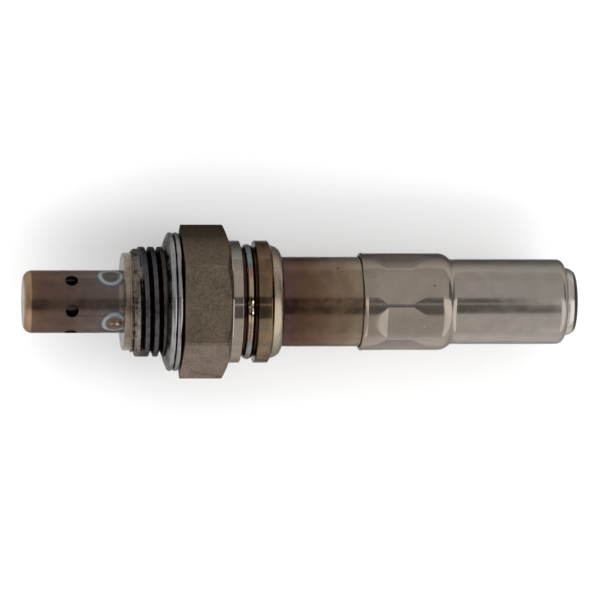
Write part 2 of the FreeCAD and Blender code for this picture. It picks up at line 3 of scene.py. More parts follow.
import bmesh
import bpy
import numpy as np
from bpy.props import FloatProperty, FloatVectorProperty, IntProperty, PointerProperty
from mathutils import Matrix, Vector


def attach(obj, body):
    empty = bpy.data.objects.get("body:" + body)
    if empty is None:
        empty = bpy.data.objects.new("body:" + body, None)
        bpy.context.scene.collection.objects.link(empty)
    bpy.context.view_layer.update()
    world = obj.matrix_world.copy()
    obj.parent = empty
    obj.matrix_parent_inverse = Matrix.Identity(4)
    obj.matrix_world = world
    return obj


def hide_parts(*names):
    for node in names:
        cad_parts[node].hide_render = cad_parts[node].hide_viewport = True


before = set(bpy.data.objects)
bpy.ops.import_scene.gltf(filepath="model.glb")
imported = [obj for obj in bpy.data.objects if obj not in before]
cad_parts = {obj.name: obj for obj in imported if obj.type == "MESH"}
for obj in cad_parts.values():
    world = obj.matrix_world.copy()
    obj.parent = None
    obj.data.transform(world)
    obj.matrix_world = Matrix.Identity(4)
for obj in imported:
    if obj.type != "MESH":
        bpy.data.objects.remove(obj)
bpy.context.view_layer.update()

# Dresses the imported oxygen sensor. The axis is X, the gas end points to -X and +Z is up.
# Outlines are in millimetres, as (along, radius); an angle starts at the top, at +Z, and
# grows towards -Y.

bl_info = {
    "name": "Oxygen sensor",
    "version": (1, 0, 0),
    "blender": (4, 5, 0),
    "location": "3D View > Sidebar > Oxygen sensor",
    "description": "Models and finishes the pieces of an exhaust gas sensor",
    "category": "Object",
}

MM = 0.001
MERGE_GAP = 1e-7        # metres between points that are merged


# ---------------------------------------------------------------- settings

def length(name, description, millimetres):
    return FloatProperty(name=name, description=description, default=millimetres * MM,
                         min=0.0, precision=5, subtype="DISTANCE", unit="LENGTH")


def colour(name, description, red, green, blue):
    return FloatVectorProperty(name=name, description=description, size=3, min=0.0, max=1.0,
                               default=(red, green, blue), subtype="COLOR")


class SensorSizes(bpy.types.PropertyGroup):
    """Sizes of the formed details."""
    thread_pitch: length("Thread pitch", "From one thread crest to the next", 1.5)
    thread_crest: length("Thread crest", "Radius of the thread crests", 9.0)
    thread_root: length("Thread root", "Radius of the bottom of the thread", 8.025)
    hexagon_flat: length("Hexagon flat", "Distance of each flat from the axis", 11.0)
    crimp_depth: length("Crimp depth", "How far the crimp flats are pressed in", 0.5)
    hole_diameter: length("Gas hole", "Diameter of the gas holes", 2.1)
    weld_ring: length("Weld ring", "Outer radius of the ring round each spot weld", 2.3)
    floor_depth: length("Floor depth", "How far the floor lies under the axis", 11.37)
    turns: IntProperty(name="Steps", description="Steps of each turned piece round the axis",
                       default=256, min=32, max=512)


class SensorFinishes(bpy.types.PropertyGroup):
    """Metal colours, as the share of light that they reflect."""
    nose: colour("Nose", "Turned nose in front of the thread", 0.18, 0.143, 0.115)
    thread: colour("Thread", "Oxidised thread", 0.062, 0.057, 0.058)
    hexagon: colour("Hexagon", "Rough brown-grey hexagon", 0.115, 0.09, 0.067)
    front_collar: colour("Front collar", "Polished collar behind the hexagon", 0.228, 0.192, 0.158)
    rear_collar: colour("Rear collar", "Golden brown collar", 0.13, 0.088, 0.053)
    lip: colour("Lip", "Champagne coloured rolled lip", 0.23, 0.185, 0.135)
    gasket: colour("Gasket", "Grey folded gasket", 0.235, 0.231, 0.227)
    protector: colour("Protector", "Heat-browned protector tube", 0.078, 0.051, 0.039)
    tube: colour("Rear tube", "Brown tinted rear tube", 0.118, 0.075, 0.05)
    sleeve: colour("Sleeve", "Satin outer sleeve", 0.24, 0.211, 0.184)
    rubber: colour("Rubber", "Black grommet", 0.01, 0.01, 0.011)


def sizes():
    return bpy.context.scene.sensor_sizes


def finishes():
    return bpy.context.scene.sensor_finishes


# ---------------------------------------------------------------- modelling

def rounded(points, arc_step=15.0):
    """Closed outline with an arc at each (along, radius, round) corner."""
    path = []
    for i, point in enumerate(points):
        at = Vector(point[:2])
        if len(point) < 3:
            path.append(at)
            continue
        back = (Vector(points[i - 1][:2]) - at).normalized()
        ahead = (Vector(points[(i + 1) % len(points)][:2]) - at).normalized()
        half = back.angle(ahead) / 2
        centre = at + (back + ahead).normalized() * (point[2] / math.sin(half))
        start = at + back * (point[2] / math.tan(half)) - centre
        turn = math.pi - 2 * half
        if back.x * ahead.y - back.y * ahead.x > 0:
            turn = -turn
        count = max(2, round(abs(math.degrees(turn)) / arc_step))
        for k in range(count + 1):
            angle = turn * k / count
            path.append(centre + Vector((
                start.x * math.cos(angle) - start.y * math.sin(angle),
                start.x * math.sin(angle) + start.y * math.cos(angle))))
    return path


def with_rows(path, start, end, step):
    """Outline with more points where it runs between two stations along the axis."""
    dense = []
    for i, at in enumerate(path):
        dense.append(at)
        following = path[(i + 1) % len(path)]
        run = following - at
        if start <= min(at.x, following.x) and max(at.x, following.x) <= end:
            count = int(abs(run.x) / step)
            dense += [at + run * (k / count) for k in range(1, count)]
    return dense


def pick(piece):
    """Selects one piece alone and makes it the active one."""
    bpy.ops.object.select_all(action="DESELECT")
    piece.select_set(True)
    bpy.context.view_layer.objects.active = piece


def edit(piece):
    """Opens one piece in edit mode."""
    pick(piece)
    bpy.ops.object.mode_set(mode="EDIT")


def turned_piece(name, path, steps, closed=True):
    """Lathes a piece: a point is extruded along the outline, which is spun about the axis."""
    bpy.ops.object.select_all(action="DESELECT")
    bpy.ops.mesh.primitive_plane_add(size=MM)
    piece = bpy.context.object
    piece.name = piece.data.name = name
    edit(piece)
    bpy.ops.mesh.select_mode(type="VERT")
    bpy.ops.mesh.select_all(action="SELECT")
    bpy.ops.mesh.merge(type="CENTER")
    bpy.ops.transform.translate(value=(path[0].x * MM, 0, path[0].y * MM))
    for at, following in zip(path, path[1:]):
        run = (following - at) * MM
        bpy.ops.mesh.extrude_region_move(
            TRANSFORM_OT_translate={"value": (run.x, 0, run.y)})
    if closed:
        bm = bmesh.from_edit_mesh(piece.data)
        for vertex in bm.verts:
            vertex.select = len(vertex.link_edges) == 1
        bm.select_flush_mode()
        bpy.ops.mesh.edge_face_add()
    bpy.ops.mesh.select_all(action="SELECT")
    bpy.ops.mesh.spin(steps=steps, angle=math.tau, center=(0, 0, 0), axis=(1, 0, 0),
                      use_auto_merge=True)
    clean()
    return piece


def clean():
    """Merges doubles, points the faces outwards and leaves edit mode."""
    bpy.ops.mesh.select_all(action="SELECT")
    bpy.ops.mesh.remove_doubles(threshold=MERGE_GAP)
    bpy.ops.mesh.normals_make_consistent(inside=False)
    bpy.ops.object.mode_set(mode="OBJECT")


def places(piece):
    """Each vertex's place in millimetres and degrees: along, angle and radius."""
    co = np.empty(len(piece.data.vertices) * 3)
    piece.data.vertices.foreach_get("co", co)
    x, y, z = co.reshape(-1, 3).T / MM
    return x, np.degrees(np.arctan2(-y, z)), np.hypot(y, z)


def coordinates(x, angle, radius):
    """Points in millimetres that lie at these places."""
    turn = np.radians(angle)
    return np.stack((x, -radius * np.sin(turn), radius * np.cos(turn)), axis=1)


def move_to(piece, x, angle, radius):
    """Moves each vertex of a piece to its new place."""
    piece.data.vertices.foreach_set("co", (coordinates(x, angle, radius) * MM).ravel())
    piece.data.update()


def outward(angle):
    """Direction away from the axis, at an angle in degrees."""
    turn = math.radians(angle)
    return Vector((0.0, -math.sin(turn), math.cos(turn)))


def ease(value, start, end):
    """0 before start, 1 after end, and a smooth rise between them."""
    share = np.clip((value - start) / (end - start), 0, 1)
    return share * share * (3 - 2 * share)


def finish_piece(piece, node, angle=25.0):
    """Smooths a piece up to an angle in degrees, and puts it in place of its CAD node."""
    pick(piece)
    bpy.ops.object.shade_smooth_by_angle(angle=math.radians(angle))
    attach(piece, "root")
    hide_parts(node)


# ---------------------------------------------------------------- nodes

NOISE_RANGE = (0.3, 0.7)     # nearly all of a noise lies in it
SPOT_EDGE = (0.3, 1.4)       # where a spot fades, by the square of the distance
RAMP_SCALE = 2.0             # a ramp clips at 1, so some shades are written as halves
METAL_GRAIN = 0.25
PLAIN_GRAIN = 0.6


def put(tree, kind, inputs=(), **settings):
    """Adds a shader node; an input is a socket to link or a plain value."""
    node = tree.nodes.new("ShaderNode" + kind)
    for key, value in settings.items():
        setattr(node, key, value)
    for key, value in dict(inputs).items():
        if isinstance(value, bpy.types.NodeSocket):
            tree.links.new(value, node.inputs[key])
        else:
            node.inputs[key].default_value = value
    return node


def opaque(tone):
    """A plain colour with full alpha; a socket stays as it is."""
    return tone if isinstance(tone, bpy.types.NodeSocket) else (*tone[:3], 1.0)


def maths(tree, operation, *terms):
    """Result of a Math node."""
    return put(tree, "Math", enumerate(terms), operation=operation).outputs[0]


def span(tree, value, low, high, new_low=0.0, new_high=1.0):
    """Smooth change from new_low to new_high while a value goes from low to high."""
    limits = {0: value, 1: low, 2: high, 3: new_low, 4: new_high}
    return put(tree, "MapRange", limits, interpolation_type="SMOOTHSTEP").outputs[0]


def spread(tree, noise, middle, reach):
    """Value that a noise moves to both sides of its middle."""
    return span(tree, noise, *NOISE_RANGE, middle - reach, middle + reach)


def blend(tree, share, first, second, how="MIX"):
    """Mixes two colours, each a socket or a plain colour."""
    tones = {0: share, 6: opaque(first), 7: opaque(second)}
    return put(tree, "Mix", tones, data_type="RGBA", blend_type=how).outputs[2]


def multiplied(tree, tone, *shades):
    """A colour times one or more others."""
    for shade in shades:
        tone = blend(tree, 1.0, tone, shade, "MULTIPLY")
    return tone


def grey(tree, level):
    """Colour with the same level in each channel, which may be above 1."""
    return put(tree, "CombineColor", {0: level, 1: level, 2: level}).outputs[0]


def colours(tree, value, stops):
    """Colour by a value: stops are (value, colour)."""
    low, high = stops[0][0], stops[-1][0]
    share = put(tree, "MapRange", {0: value, 1: low, 2: high}).outputs[0]
    ramp = put(tree, "ValToRGB", {0: share})
    elements = ramp.color_ramp.elements
    elements[0].position = 0.0
    elements[1].position = 1.0
    for at, _ in stops[1:-1]:
        elements.new((at - low) / (high - low))
    for element, (_, shade) in zip(elements, stops):
        element.color = opaque(shade)
    return ramp.outputs[0]


def times(base, red, green, blue):
    """A colour of the settings, with each channel scaled."""
    return base[0] * red, base[1] * green, base[2] * blue


def oval(tree, place, along, angle, radius, long, wide, turn=0.0):
    """Mask of a soft-edged oval spot on a round piece; long and wide are in millimetres."""
    u = maths(tree, "SUBTRACT", place["Along"], along)
    v = maths(tree, "MULTIPLY", maths(tree, "SUBTRACT", place["Angle"], angle),
              radius * math.pi / 180)
    cos, sin = math.cos(math.radians(turn)), math.sin(math.radians(turn))
    p = maths(tree, "ADD", maths(tree, "MULTIPLY", u, 2 * cos / long),
              maths(tree, "MULTIPLY", v, 2 * sin / long))
    q = maths(tree, "ADD", maths(tree, "MULTIPLY", u, -2 * sin / wide),
              maths(tree, "MULTIPLY", v, 2 * cos / wide))
    gap = maths(tree, "ADD", maths(tree, "MULTIPLY", p, p), maths(tree, "MULTIPLY", q, q))
    return span(tree, gap, *SPOT_EDGE, 1.0, 0.0)


def new_group(name, inputs, outputs):
    """Node group with float inputs (name, default) and float outputs."""
    tree = bpy.data.node_groups.new(name, "ShaderNodeTree")
    for label, default in inputs:
        socket = tree.interface.new_socket(name=label, in_out="INPUT",
                                           socket_type="NodeSocketFloat")
        socket.default_value = default
    for label in outputs:
        tree.interface.new_socket(name=label, in_out="OUTPUT", socket_type="NodeSocketFloat")
    return tree, tree.nodes.new("NodeGroupInput"), tree.nodes.new("NodeGroupOutput")


def object_place(tree):
    """Coordinates on the object, in metres."""
    return put(tree, "TexCoord").outputs["Object"]


def scaled_place(tree, along, across):
    """Coordinates on the object, scaled along the axis and across it."""
    scale = put(tree, "CombineXYZ", {0: along, 1: across, 2: across}).outputs[0]
    return put(tree, "VectorMath", {0: object_place(tree), 1: scale},
               operation="MULTIPLY").outputs[0]


def place_group():
    """Place on the axis. Side is the angle from the nearer of top and bottom, from -90 at
    +Y to 90 at -Y."""
    tree, _, result = new_group("Axis place", (), ("Along", "Angle", "Side", "Radius"))
    x, y, z = put(tree, "SeparateXYZ", {0: object_place(tree)}).outputs
    turn = maths(tree, "ARCTAN2", maths(tree, "MULTIPLY", y, -1.0), z)
    side = maths(tree, "ARCSINE", maths(tree, "SINE", turn))
    square = maths(tree, "ADD", maths(tree, "MULTIPLY", y, y), maths(tree, "MULTIPLY", z, z))
    radius = maths(tree, "SQRT", square)
    degree = math.pi / 180
    for label, value, unit in (("Along", x, MM), ("Angle", turn, degree),
                               ("Side", side, degree), ("Radius", radius, MM)):
        tree.links.new(maths(tree, "MULTIPLY", value, 1 / unit), result.inputs[label])


def lines_group():
    """Turning lines: a noise that changes fast along the axis and slowly round it."""
    tree, given, result = new_group(
        "Turning lines", (("Lines per mm", 4.0), ("Drift", 0.02)), ("Value",))
    along, across = (maths(tree, "MULTIPLY", rate, 1 / MM) for rate in given.outputs[:2])
    noise = put(tree, "TexNoise", {"Vector": scaled_place(tree, along, across), "Scale": 1.0,
                                   "Detail": 3.0, "Roughness": 0.6})
    tree.links.new(noise.outputs[0], result.inputs["Value"])


def blotches_group():
    """Blotches of a size in millimetres. Stretch lengthens and Place shifts them."""
    tree, given, result = new_group(
        "Blotches", (("Size", 2.0), ("Stretch", 1.0), ("Place", 0.0)), ("Value",))
    size, stretch, place = given.outputs[:3]
    across = maths(tree, "DIVIDE", 1 / MM, size)
    along = maths(tree, "DIVIDE", across, stretch)
    shift = put(tree, "CombineXYZ", {0: place, 1: place}).outputs[0]
    vector = put(tree, "VectorMath", {0: scaled_place(tree, along, across), 1: shift},
                 operation="ADD").outputs[0]
    noise = put(tree, "TexNoise", {"Vector": vector, "Scale": 1.0, "Detail": 4.0,
                                   "Roughness": 0.55})
    tree.links.new(noise.outputs[0], result.inputs["Value"])


def group(tree, name, **values):
    """Places a shared effect, with its own values for the inputs that are named."""
    return put(tree, "Group", values, node_tree=bpy.data.node_groups[name])


def new_material(name):
    """Material, its node tree and its shader."""
    material = bpy.data.materials.new(name)
    material.use_nodes = True
    tree = material.node_tree
    return material, tree, tree.nodes["Principled BSDF"]


def link_finish(tree, shader, tone, rough, bump):
    """Links what changes over the surface to the shader."""
    for value, label in ((tone, "Base Color"), (rough, "Roughness"), (bump, "Normal")):
        tree.links.new(value, shader.inputs[label])


def metal(name, base, roughness, lines=0.1, blotch=0.15, blotch_size=2.0, rough_spread=0.08,
          line_bump=0.002, grain_bump=0.0, edge=0.42, extra=None):
    """Metal with turning lines, uneven tone and fine grain. base is a colour, or a function
    of the tree and the axis place that returns one. edge tones its grazing reflections, and
    extra is a function that adds marks to its colour and roughness."""
    material, tree, shader = new_material(name)
    shader.inputs["Metallic"].default_value = 1.0
    shader.inputs["Specular Tint"].default_value = (edge, edge, edge, 1.0)
    place = group(tree, "Axis place").outputs
    tone = base(tree, place) if callable(base) else base
    rings = group(tree, "Turning lines").outputs[0]
    patches = group(tree, "Blotches", Size=blotch_size).outputs[0]
    shade = maths(tree, "MULTIPLY", spread(tree, rings, 1.0, lines),
                  spread(tree, patches, 1.0, blotch))
    tone = multiplied(tree, tone, grey(tree, shade))
    rough = spread(tree, patches, roughness, rough_spread)
    if extra:
        tone, rough = extra(tree, place, tone, rough)
    height = maths(tree, "MULTIPLY", rings, line_bump)
    if grain_bump:
        grain = group(tree, "Blotches", Size=METAL_GRAIN).outputs[0]
        height = maths(tree, "ADD", height, maths(tree, "MULTIPLY", grain, grain_bump))
    bump = put(tree, "Bump", {"Height": height, "Strength": 1.0, "Distance": MM})
    link_finish(tree, shader, tone, rough, bump.outputs[0])
    return material


def plain(name, base, roughness, grain=0.1, specular=0.5):
    """Non-metal with a fine, uneven grain."""
    material, tree, shader = new_material(name)
    shader.inputs["Specular IOR Level"].default_value = specular
    patches = group(tree, "Blotches", Size=PLAIN_GRAIN).outputs[0]
    tone = multiplied(tree, base, grey(tree, spread(tree, patches, 1.0, grain)))
    rough = spread(tree, patches, roughness, 0.05)
    bump = put(tree, "Bump", {"Height": patches, "Strength": 0.3, "Distance": 0.02 * MM})
    link_finish(tree, shader, tone, rough, bump.outputs[0])
    return material


def use_materials(piece, *materials):
    """Gives a piece these materials instead of its own."""
    piece.data.materials.clear()
    for material in materials:
        piece.data.materials.append(material)


def paint_zones(piece, ends):
    """Gives each face the material of its zone along the axis; ends are in millimetres."""
    for face in piece.data.polygons:
        x = face.center.x / MM
        face.material_index = sum(x > end for end in ends)


# ---------------------------------------------------------------- shell

NOSE = -6.83
THREAD_TOP = -3.62      # a crest passes this station at +Y
THREAD_START = -5.7
THREAD_FULL = -4.6
THREAD_END = -0.06
THREAD_ROW = 0.06
NECK_START = 0.15
NECK_RADIUS = 8.025
SHELL_SKIN = 7.9        # the outside lies beyond this radius and the bore within it

CREST_HALF_FLAT = 0.33
FLANK_SLOPE = 2.3
ROOT_ROUNDING = 1.6

# Degrees along the groove from +Y, between which it opens or closes. Below 0 is what lies
# in front of its first turn.
GROOVE_LEAD_CLOSES = (-90.0, -40.0)
GROOVE_OPENS = (45.0, 85.0)
GROOVE_CLOSES = (143.0, 158.0)
GROOVE_OPENS_AGAIN = (205.0, 235.0)

# The first crest is lower on both sides of +Y.
LOW_CREST_DEPTH = 0.34
LOW_CREST_END = (-4.3, -4.1)
LOW_CREST_REACH = (40.0, 75.0)

HEXAGON_ZONE = (2.6, 10.7)
HEXAGON_CORE = 10.0     # only faces that reach past this radius are cut

BEAD_START = 12.9
BEAD_LENGTH = 1.5
BEAD_FOOT = 8.96
BEAD_HEIGHT = 0.495
BEAD_ROWS = 14
BEAD_FULLNESS = 0.7     # exponent: below 1, the bead is fuller than a half wave

# Where the finishes of the nose, thread, hexagon, front collar, bead and rear collar end.
SHELL_ZONES = (-5.5, 2.65, 10.5, 12.4, 14.65, 17.2)


def thread(piece):
    """Cuts the right-handed thread, whose first groove is closed on part of its turn."""
    pitch = sizes().thread_pitch / MM
    crest = sizes().thread_crest / MM
    root = sizes().thread_root / MM
    x, angle, radius = places(piece)
    zone = (x > THREAD_START) & (x < NECK_START + 0.05) & (radius > SHELL_SKIN)
    turn = (angle[zone] + 90.0) % 360.0
    at = x[zone]
    phase = (at - THREAD_TOP) / pitch - turn / 360.0
    off = np.abs(phase - np.round(phase)) * pitch
    along = (np.floor(phase) + 1) * 360.0 + turn
    filled = ease(along, *GROOVE_CLOSES) * (1 - ease(along, *GROOVE_OPENS_AGAIN))
    depth = np.where(along > 0, ease(along, *GROOVE_OPENS) * (1 - filled),
                     1 - ease(along, *GROOVE_LEAD_CLOSES))
    flank = np.clip((off - CREST_HALF_FLAT) * FLANK_SLOPE, 0, None)
    full = crest - root
    cut = full * (1 - np.exp(-(flank / full) ** 1.5 * ROOT_ROUNDING))
    cut = np.clip(cut / (1 - math.exp(-ROOT_ROUNDING * 1.1)), 0, full) * depth
    low = np.minimum(radius[zone], np.maximum(crest - cut, root))
    lead = ((1 - ease(at, *LOW_CREST_END))
            * (1 - ease(np.minimum(turn, 360 - turn), *LOW_CREST_REACH)))
    radius[zone] = np.minimum(low, crest - LOW_CREST_DEPTH * lead)
    move_to(piece, x, angle, radius)


def nose_tint(tree, place):
    """Bare turned nose, with two dark lines round a bright ridge in front of the thread."""
    nose = finishes().nose
    dark = times(nose, 0.34, 0.3, 0.28)
    return colours(tree, place["Along"], (
        (-6.9, nose), (-6.05, nose), (-5.97, dark), (-5.88, times(nose, 1.05, 1.03, 0.9)),
        (-5.74, times(nose, 1.0, 0.98, 0.88)), (-5.66, dark),
        (-5.5, times(nose, 0.5, 0.5, 0.5))))


def thread_tint(tree, place):
    """Blue-grey crests; the grooves are painted darker towards their root as shade, with a brown
    band on their flanks as a painted glint. Brown at both ends, with painted shade on the far
    side.
    """
    crest = finishes().thread
    # painted shade: darker towards the root of each groove; the brown band at 8.35 mm is a painted
    # glint on the flanks
    deep = colours(tree, place["Radius"], (
        (8.1, (0.015, 0.011, 0.009)), (8.35, (0.1, 0.062, 0.045)),
        (8.55, (0.05, 0.033, 0.025)), (8.75, times(crest, 0.6, 0.58, 0.55)), (8.93, crest),
        (9.05, times(crest, 1.1, 1.1, 1.1))))
    behind = span(tree, place["Along"], -1.35, -1.05)
    deep = blend(tree, behind, deep, multiplied(tree, deep, (0.95, 0.78, 0.6)))
    start = span(tree, place["Along"], -4.3, -3.75, 1.0, 0.0)
    patches = group(tree, "Blotches", Size=0.8, Place=3.0).outputs[0]
    brown = maths(tree, "MULTIPLY", start, span(tree, patches, 0.35, 0.55))
    tone = blend(tree, brown, deep, times(crest, 3.0, 2.8, 2.3))
    # painted shade on the far side
    painted_side_shading = colours(tree, place["Side"], (
        (-90.0, (0.35, 0.38, 0.42)), (-48.0, (0.5, 0.54, 0.6)), (-33.0, (0.85, 0.85, 0.88)),
        (-10.0, (1.0, 1.0, 1.0)), (90.0, (1.0, 1.0, 1.0))))
    return multiplied(tree, tone, painted_side_shading)


def hexagon_tint(tree, place):
    """Brown-grey, with painted light that makes the near facet brighter and pinker and painted
    shade that darkens the far one towards its corner.
    """
    base = finishes().hexagon
    # painted shade on the far facet and painted light on the near one
    painted_facet_light = colours(tree, place["Side"], (
        (-90.0, times(base, 0.25, 0.25, 0.25)), (-74.0, times(base, 0.34, 0.34, 0.34)),
        (-64.0, times(base, 0.6, 0.58, 0.56)), (-50.0, times(base, 0.8, 0.77, 0.77)),
        (-32.0, times(base, 0.86, 0.84, 0.82)), (-30.0, times(base, 1.05, 1.05, 1.02)),
        (31.0, times(base, 1.05, 1.05, 1.02)), (33.0, times(base, 1.6, 1.6, 1.78)),
        (90.0, times(base, 1.72, 1.68, 1.85))))
    grain = group(tree, "Blotches", Size=0.3, Place=5.0).outputs[0]
    shade = span(tree, grain, *NOISE_RANGE, 0.78, 1.25)
    return multiplied(tree, painted_facet_light, grey(tree, shade))


def bead_tint(tree, place):
    """Heat colours of the buckled bead, which change round it and are painted darker on the far
    side as shade and paler on the near one as light; its feet are painted dark brown as shade in
    the grooves.
    """
    teal, rose, gold = (0.1, 0.122, 0.12), (0.24, 0.125, 0.105), (0.27, 0.2, 0.14)
    # heat colours, with painted shade on the far side and painted light on the near side
    crown = colours(tree, place["Side"], (
        (-90.0, teal), (-42.0, teal), (-37.0, rose), (-31.0, rose), (-25.0, gold), (17.0, gold),
        (22.0, (0.17, 0.115, 0.095)), (36.0, (0.16, 0.11, 0.095)),
        (48.0, (0.2, 0.19, 0.175)), (90.0, (0.26, 0.26, 0.25))))
    patches = group(tree, "Blotches", Size=0.55, Place=1.0).outputs[0]
    middle = maths(tree, "MULTIPLY", span(tree, place["Angle"], -9.0, -6.0),
                   span(tree, place["Angle"], 11.0, 15.0, 1.0, 0.0))
    scorch = maths(tree, "MULTIPLY", middle, span(tree, patches, 0.47, 0.53))
    crown = blend(tree, scorch, crown, (0.03, 0.018, 0.012))
    # three bright specks in the scorched part
    for angle, along in ((-2.0, 13.85), (2.8, 13.35), (8.5, 13.9)):
        spot = oval(tree, place, along, angle, 9.45, 0.42, 0.5)
        crown = blend(tree, spot, crown, (0.75, 0.6, 0.45))
    # painted shade in the grooves at both feet of the bead
    feet = maths(tree, "MAXIMUM", span(tree, place["Along"], 12.95, 13.15, 1.0, 0.0),
                 span(tree, place["Along"], 14.05, 14.2))
    return blend(tree, feet, crown, (0.03, 0.017, 0.012))


def front_collar_tint(tree, place):
    """Polished collar, painted dark grey-green on the far side as shade and pale on the near one
    as light.
    """
    base = finishes().front_collar
    # painted shade on the far side and painted light on the near side
    return colours(tree, place["Side"], (
        (-90.0, times(base, 0.33, 0.38, 0.4)), (-62.0, times(base, 0.38, 0.43, 0.45)),
        (-45.0, times(base, 0.78, 0.82, 0.84)), (-33.0, tuple(base)), (50.0, tuple(base)),
        (66.0, times(base, 1.25, 1.28, 1.3)), (90.0, times(base, 1.3, 1.35, 1.4))))


def rear_collar_tint(tree, place):
    """Golden brown in patches, painted greyer on the far side as shade and lighter on the near one
    as light, with a dark front edge painted as shade in the groove.
    """
    base = finishes().rear_collar
    patches = group(tree, "Blotches", Size=2.2, Stretch=0.6, Place=2.0).outputs[0]
    tone = blend(tree, span(tree, patches, 0.42, 0.6), times(base, 0.85, 0.9, 0.98),
                 times(base, 1.2, 1.1, 0.97))
    # painted shade on the far side and painted light on the near side
    painted_side_shading = colours(tree, place["Side"], (
        (-90.0, (0.4, 0.45, 0.5)), (-60.0, (0.6, 0.6, 0.63)), (-40.0, (0.75, 0.7, 0.72)),
        (-12.0, (0.8, 0.76, 0.78)), (4.0, (1.0, 1.0, 1.0)), (25.0, (1.05, 1.14, 1.25)),
        (90.0, (1.15, 1.35, 1.6))))
    tone = multiplied(tree, tone, painted_side_shading)
    # painted shade where the front edge meets the groove
    front = span(tree, place["Along"], 14.8, 14.92, 1.0, 0.0)
    return blend(tree, front, tone, (0.03, 0.018, 0.012))


def lip_tint(tree, place):
    """Champagne, painted darker on the far side as shade and paler on the near one as light."""
    base = finishes().lip
    # painted shade on the far side and painted light on the near side
    return colours(tree, place["Side"], (
        (-90.0, times(base, 0.5, 0.5, 0.55)), (-62.0, times(base, 0.62, 0.62, 0.66)),
        (-42.0, tuple(base)), (0.0, times(base, 1.1, 1.1, 1.1)),
        (30.0, times(base, 1.15, 1.2, 1.25)), (90.0, times(base, 1.25, 1.3, 1.45))))


def hexagon(piece):
    """Cuts the six flats on the wide collar with a plane each."""
    flat = sizes().hexagon_flat
    front, rear = HEXAGON_ZONE
    for k in range(6):
        normal = outward(60.0 * k)
        edit(piece)
        bpy.ops.mesh.select_mode(type="FACE")
        bpy.ops.mesh.select_all(action="DESELECT")
        bm = bmesh.from_edit_mesh(piece.data)
        for face in bm.faces:
            xs = [v.co.x / MM for v in face.verts]
            tall = max(math.hypot(v.co.y, v.co.z) for v in face.verts)
            face.select = min(xs) > front and max(xs) < rear and tall > HEXAGON_CORE * MM
        bm.select_flush_mode()
        bmesh.update_edit_mesh(piece.data)
        bpy.ops.mesh.bisect(plane_co=normal * flat, plane_no=normal, use_fill=True,
                            clear_outer=True)
        bpy.ops.object.mode_set(mode="OBJECT")
    edit(piece)
    clean()


class SENSOR_OT_shell(bpy.types.Operator):
    """Turns the shell, cuts its thread and its hexagon"""
    bl_idname = "sensor.shell"
    bl_label = "Shell"

    def execute(self, context):
        bead = [(BEAD_START + BEAD_LENGTH * k / BEAD_ROWS,
                 BEAD_FOOT + BEAD_HEIGHT * math.sin(math.pi * k / BEAD_ROWS) ** BEAD_FULLNESS)
                for k in range(BEAD_ROWS + 1)]
        path = rounded([
            (-10.43, 3.4), (-10.43, 4.18), (NOSE, 4.18), (NOSE, 8.0, 0.3),
            (THREAD_START, 8.0), (THREAD_FULL, 9.0), (THREAD_END, 9.0),
            (0.1, 8.35), (NECK_START, NECK_RADIUS), (2.7, NECK_RADIUS), (2.7, 12.6),
            (9.58, 12.6, 0.12), (10.45, 10.42), (10.56, 10.14), (10.75, 10.025),
            (12.32, 10.025, 0.1), (12.32, BEAD_FOOT), *bead, (14.75, BEAD_FOOT),
            (14.75, 10.025, 0.12), (16.95, 10.025, 0.12), (17.4, 9.325, 0.12),
            (19.05, 8.675, 1.65), (19.2, 7.4), (18.15, 7.4), (18.15, 8.06), (11.7, 8.06),
            (11.7, 6.3), (0.6, 6.3), (0.6, 3.4)])
        path = with_rows(path, THREAD_START - 0.01, NECK_START + 0.01, THREAD_ROW)
        shell = turned_piece("sensor_shell", path, sizes().turns)
        thread(shell)
        hexagon(shell)
        use_materials(
            shell,
            metal("Nose steel", nose_tint, 0.26, lines=0.04, blotch=0.15, blotch_size=1.2,
                  edge=1.0),
            metal("Thread oxide", thread_tint, 0.36, lines=0.05, blotch=0.25, blotch_size=0.8),
            metal("Hexagon steel", hexagon_tint, 0.5, lines=0.03, grain_bump=0.03, blotch=0.12),
            metal("Front collar steel", front_collar_tint, 0.1, lines=0.04, blotch=0.06,
                  rough_spread=0.03),
            metal("Buckled bead steel", bead_tint, 0.16, lines=0.05),
            metal("Rear collar steel", rear_collar_tint, 0.12, lines=0.05, rough_spread=0.04),
            metal("Lip steel", lip_tint, 0.27, lines=0.04, blotch=0.08))
        paint_zones(shell, SHELL_ZONES)
        finish_piece(shell, "shell")
        return {"FINISHED"}


# ---------------------------------------------------------------- gasket

def gasket_tint(tree, place):
    """Grey sheet, darker in front, painted darker on the far side as shade, and warmer on the rear
    bead.
    """
    base = finishes().gasket
    tone = colours(tree, place["Along"], (
        (0.0, times(base, 0.6, 0.6, 0.6)), (0.45, tuple(base)), (1.4, tuple(base)),
        (1.6, times(base, 0.98, 0.93, 0.9)), (2.4, times(base, 0.98, 0.93, 0.9))))
    # painted shade on the far side
    painted_side_shading = colours(tree, place["Side"], (
        (-90.0, (0.5, 0.5, 0.5)), (-60.0, (0.7, 0.7, 0.7)), (-30.0, (0.95, 0.95, 0.97)),
        (0.0, (1.0, 1.0, 1.0)), (90.0, (1.0, 1.0, 1.0))))
    return multiplied(tree, tone, painted_side_shading)


